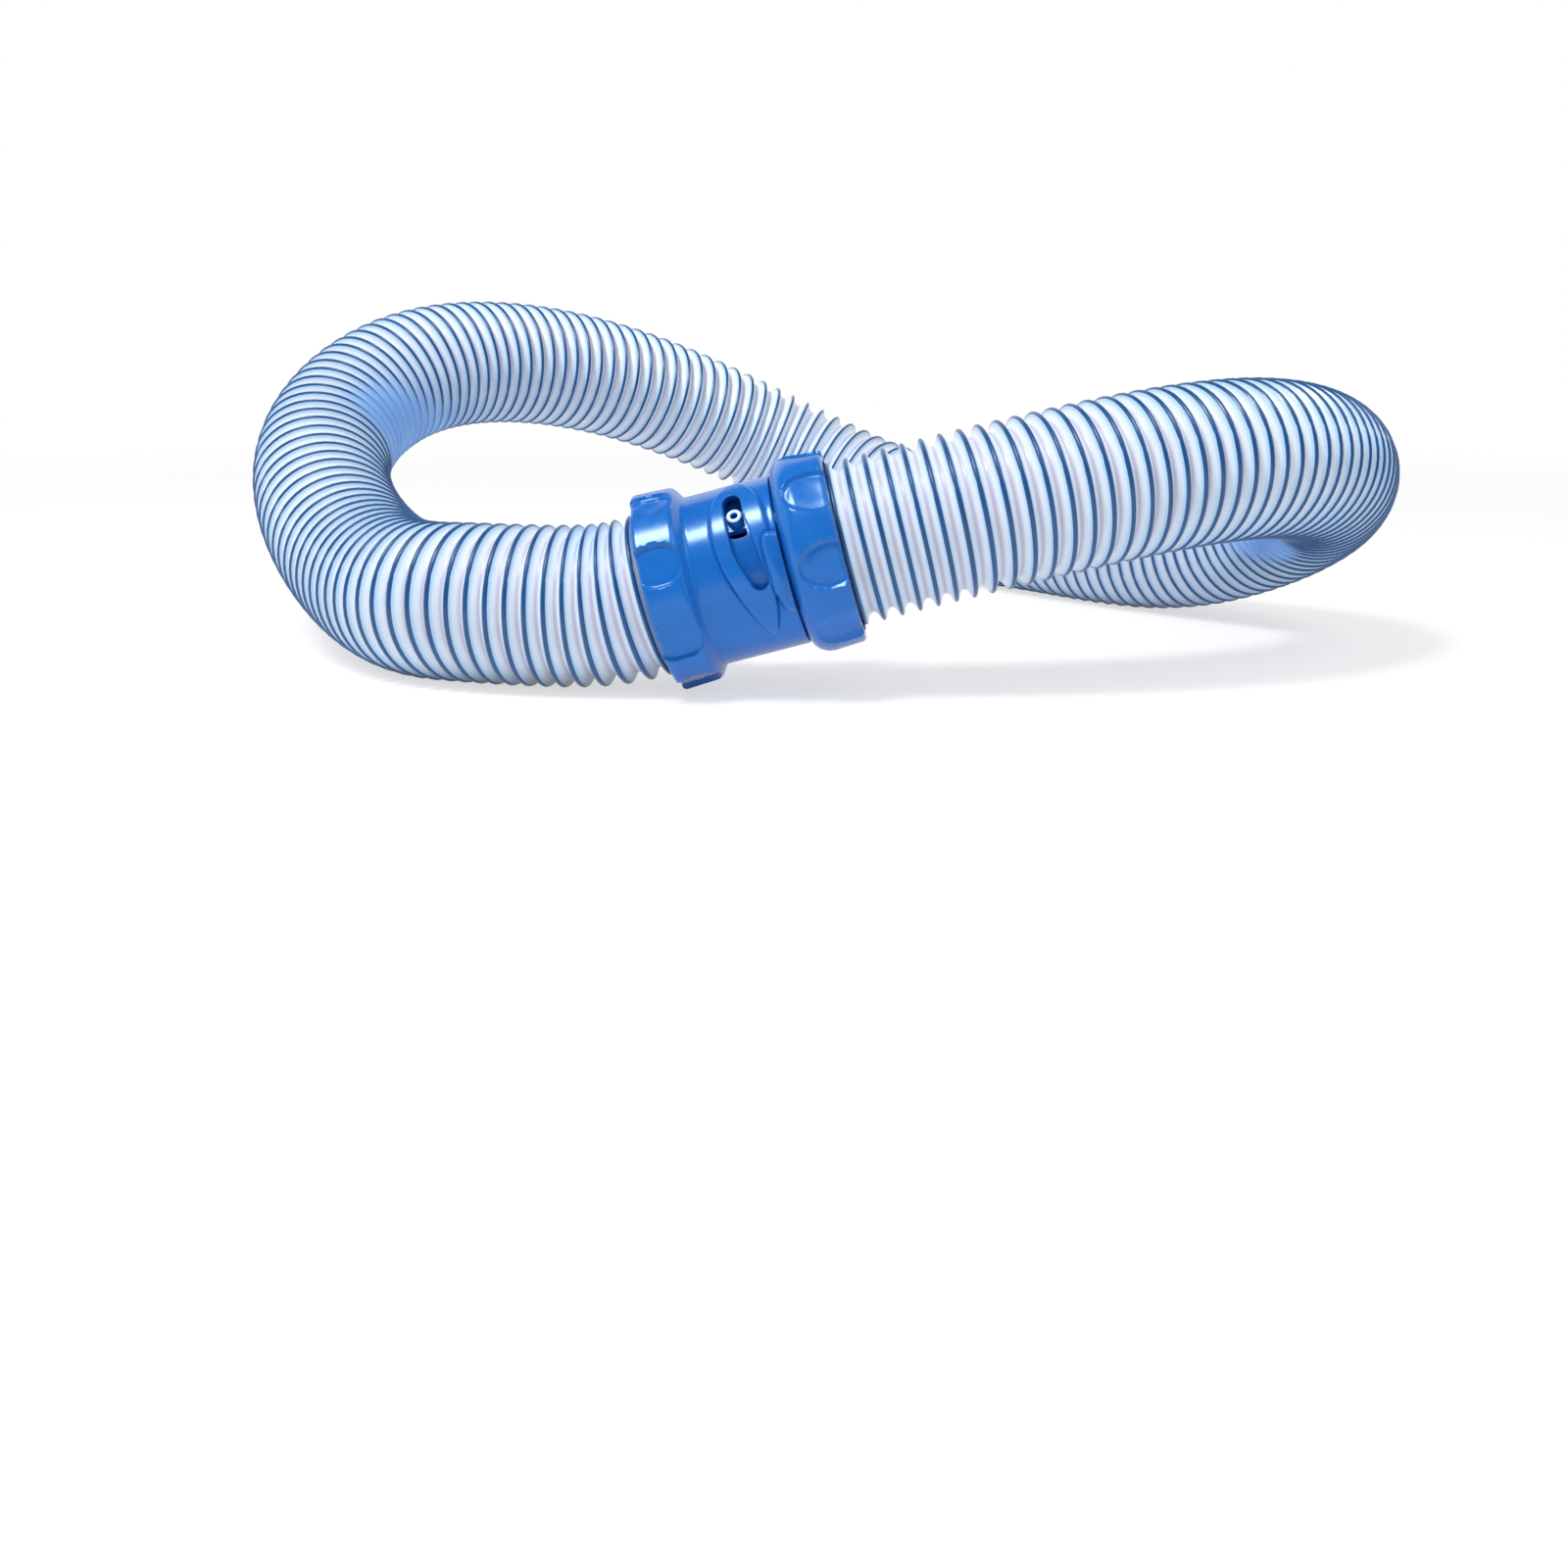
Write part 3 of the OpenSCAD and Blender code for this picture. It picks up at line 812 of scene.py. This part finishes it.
def seen_directly(tree):
    """1 for what the eye, a gloss or a clear wall sees, and 0 for what lights a surface."""
    path = node(tree, "ShaderNodeLightPath")
    seen = node(tree, "ShaderNodeMath", {
        0: path.outputs["Is Camera Ray"], 1: path.outputs["Is Glossy Ray"]}, operation="MAXIMUM")
    seen = node(tree, "ShaderNodeMath", {
        0: seen.outputs[0], 1: path.outputs["Is Transmission Ray"]}, operation="MAXIMUM")
    return seen.outputs[0]


def hose_polyethylene():
    """Blow-moulded polyethylene: milky and waxy, with blue only on the crests of the ribs."""
    material, tree, shader, place = start_material(
        "blow_moulded_polyethylene", Roughness=0.34, IOR=1.51,
        Coat_Weight=0.10, Coat_Roughness=0.15)
    crest = node(tree, "ShaderNodeAttribute", attribute_name="crest").outputs["Fac"]
    squeeze = node(tree, "ShaderNodeAttribute", attribute_name="squeeze").outputs["Fac"]
    # The wall is thicker and thinner in patches some 5 mm across
    patches = speckle(tree, place, 5.0)
    milk = blend_of(tree, patches, "#d6e3f2", "#e7eff8")
    # Painted shade: the grooves are coloured grey, and lavender on the inside of a bend
    groove_shade = blend_of(tree, part_of(tree, squeeze, 0.0, 0.12), "#bbbacf", "#a9bbe9")
    milk = blend_of(tree, part_of(tree, crest, -0.25, -0.95), milk, groove_shade)
    # The blue of a crest tints the flanks next to it
    milk = blend_of(tree, part_of(tree, crest, 0.05, 0.45), milk, "#b4d4f3")
    # Painted light: where a bend squeezes the ribs together, the wall and its crests are coloured
    # an even light blue, for light that shines through the packed ribs
    milk = blend_of(tree, part_of(tree, squeeze, 0.12, 0.30, 0.0, 0.90), milk, "#a0cdfb")
    blue = blend_of(tree, patches, "#0c3f70", "#145590")
    # The crests there take the same painted light blue
    blue = blend_of(tree, part_of(tree, squeeze, 0.19, 0.30, 0.0, 0.95), blue, "#80b2f2")
    skin = blend_of(tree, part_of(tree, crest, 0.60, 0.80), milk, blue)
    tree.links.new(skin, shader.inputs["Base Color"])
    # The mould leaves a faint orange peel, about 0.8 mm across
    bump = node(tree, "ShaderNodeBump", {
        "Height": speckle(tree, place, 0.8, 1.0), "Strength": 0.06, "Distance": 0.0002})
    tree.links.new(bump.outputs[0], shader.inputs["Normal"])
    return material


def cuff_polypropylene():
    """Injection-moulded polypropylene: even blue, a clear gloss and faint flow marks."""
    material, tree, shader, place = start_material(
        "injection_moulded_polypropylene", IOR=1.49, Coat_Weight=0.20, Coat_Roughness=0.16,
        Specular_Tint=colour("#bfeaff"))
    # The pigment flows in streaks some 12 mm across
    flow = speckle(tree, place, 12.0)
    blue = blend_of(tree, flow, "#135eb3", "#1b6dc4")
    # Fine dull scuffs, about 1.5 mm across
    scuffs = part_of(tree, speckle(tree, place, 1.5, 3.0), 0.35, 0.75, 0.22, 0.28)
    blue = blend_of(tree, part_of(tree, speckle(tree, place, 3.0, 3.0), 0.60, 0.85, 0.0, 0.15),
                    blue, "#3f86d6")
    # A face that rubs on another is polished pale
    # The top of each peg's rim is coloured pale all round
    pale_rim_top = node(tree, "ShaderNodeAttribute", attribute_name="pale_rim_top").outputs["Fac"]
    blue = blend_of(tree, pale_rim_top, blue, "#d4e6fb")
    tree.links.new(blue, shader.inputs["Base Color"])
    tree.links.new(scuffs, shader.inputs["Roughness"])
    # Sink marks some 9 mm across, too shallow to see but for the highlight
    bump = node(tree, "ShaderNodeBump", {
        "Height": speckle(tree, place, 9.0, 1.0), "Strength": 0.08, "Distance": 0.0004})
    tree.links.new(bump.outputs[0], shader.inputs["Normal"])
    return material


def seal_rubber():
    """Moulded nitrile rubber: black and nearly dull."""
    material, tree, shader, place = start_material(
        "moulded_nitrile_rubber", Roughness=0.55, IOR=1.52)
    black = blend_of(tree, speckle(tree, place, 1.2, 3.0), "#141416", "#26262a")
    tree.links.new(black, shader.inputs["Base Color"])
    return material


def spring_steel():
    """Bright spring steel wire, drawn, with fine scratches round it."""
    material, tree, shader, place = start_material(
        "drawn_spring_steel", Metallic=1.0, Roughness=0.28)
    steel = blend_of(tree, speckle(tree, place, 0.7, 3.0), "#b9bcc0", "#d5d7da")
    tree.links.new(steel, shader.inputs["Base Color"])
    return material


def sweep_paint():
    """A white studio sweep: a soft shadow near the ring, and plain white further off."""
    material = bpy.data.materials.new("studio_sweep_paint")
    material.use_nodes = True
    tree = material.node_tree
    tree.nodes.clear()
    place = node(tree, "ShaderNodeTexCoord").outputs["Object"]
    distance = node(tree, "ShaderNodeVectorMath", {0: place}, operation="LENGTH").outputs["Value"]
    plain = part_of(tree, distance, 0.35, 1.1, 0.62, 1.0)
    matt = node(tree, "ShaderNodeBsdfDiffuse", {"Color": colour("#ffffff")})
    white = node(tree, "ShaderNodeEmission", {"Color": colour("#ffffff"), "Strength": 1.0})
    # What lights the ring from below is the matt paint alone; the eye and a gloss see the white
    share = node(tree, "ShaderNodeMath", {
        0: seen_directly(tree), 1: plain}, operation="MULTIPLY")
    mix = node(tree, "ShaderNodeMixShader", {
        0: share.outputs[0], 1: matt.outputs[0], 2: white.outputs[0]})
    end = node(tree, "ShaderNodeOutputMaterial")
    tree.links.new(mix.outputs[0], end.inputs["Surface"])
    return material


def dress(piece, material):
    """Gives a piece one material all over."""
    piece.data.materials.clear()
    piece.data.materials.append(material)


# ---------------------------------------------------------------- floor and light

def make_floor():
    """A wide white floor, a hair below the ring."""
    bpy.ops.object.select_all(action="DESELECT")
    bpy.ops.mesh.primitive_plane_add(size=8.0, location=(0, 0, 0))
    floor = bpy.context.object
    floor.name = "floor"
    floor.data.transform(Matrix.Translation((0, 0, -0.0001)))
    dress(floor, sweep_paint())


def add_softbox(name, place, target, size, power):
    """A soft rectangular lamp that faces a target."""
    data = bpy.data.lights.new(name, "AREA")
    data.shape = "RECTANGLE"
    data.size, data.size_y = size
    data.energy = power
    light = bpy.data.objects.new(name, data)
    light.location = place
    direction = Vector(target) - Vector(place)
    light.rotation_euler = direction.to_track_quat("-Z", "Y").to_euler()
    bpy.context.scene.collection.objects.link(light)


def add_black_cards():
    """Black cards before and over the ring, which only a gloss sees: they keep the blue deep."""
    material = start_material("black_card_board", Roughness=1.0, Base_Color=colour("#0a0a0c"))[0]
    for name, place, tilt, size in (
            ("black_card_front", (0, -0.75, 0.46), 72, (2.4, 0.90)),
            ("black_card_above", (-0.4, 0.2, 1.6), 0, (3.6, 2.6))):
        bpy.ops.object.select_all(action="DESELECT")
        bpy.ops.mesh.primitive_plane_add(size=1.0)
        card = bpy.context.object
        card.name = name
        card.data.transform(Matrix.Translation(place) @ Matrix.Rotation(math.radians(tilt), 4, "X")
                            @ Matrix.Diagonal((*size, 1, 1)))
        dress(card, material)
        for ray in ("camera", "diffuse", "transmission", "volume_scatter", "shadow"):
            setattr(card, "visible_" + ray, False)


def light_studio():
    """A white room that lights the ring evenly, one softbox for the highlight and a weak fill."""
    room_light = 0.49
    world = bpy.data.worlds.new("studio")
    world.use_nodes = True
    tree = world.node_tree
    background = tree.nodes["Background"]
    background.inputs["Color"].default_value = colour("#ffffff")
    strength = node(tree, "ShaderNodeMapRange", {
        "Value": seen_directly(tree), "To Min": room_light})
    tree.links.new(strength.outputs[0], background.inputs["Strength"])
    bpy.context.scene.world = world
    add_softbox("softbox_above", (-0.44, -0.47, 1.2), (-0.01, -0.13, 0.03), (0.28, 0.44), 13)
    add_softbox("softbox_fill", (0.5, -0.4, 1.1), (0, 0, 0), (0.7, 0.7), 3)


# ---------------------------------------------------------------- the scene

set_camera()

hose = build_hose()
dress(hose, hose_polyethylene())
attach(hose, "hose_and_socket")
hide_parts("corrugated_hose")

cuff_plastic = cuff_polypropylene()
for piece, body, cad_node in (
        (build_female_cuff(), "hose_and_socket", "female_cuff"),
        (build_male_cuff(), "male_end", "male_cuff"),
        (build_pegs(), "male_end", "lock_pegs")):
    dress(piece, cuff_plastic)
    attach(piece, body)
    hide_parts(cad_node)

for name in ("female_sleeve", "swivel_sleeve"):
    dress(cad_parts[name], cuff_plastic)
rubber = seal_rubber()
for name in ("spigot_seal_ring", "swivel_seal_ring"):
    dress(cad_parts[name], rubber)
dress(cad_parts["swivel_snap_ring"], spring_steel())

make_floor()
add_black_cards()
light_studio()
bpy.context.scene.view_settings.view_transform = "Standard"
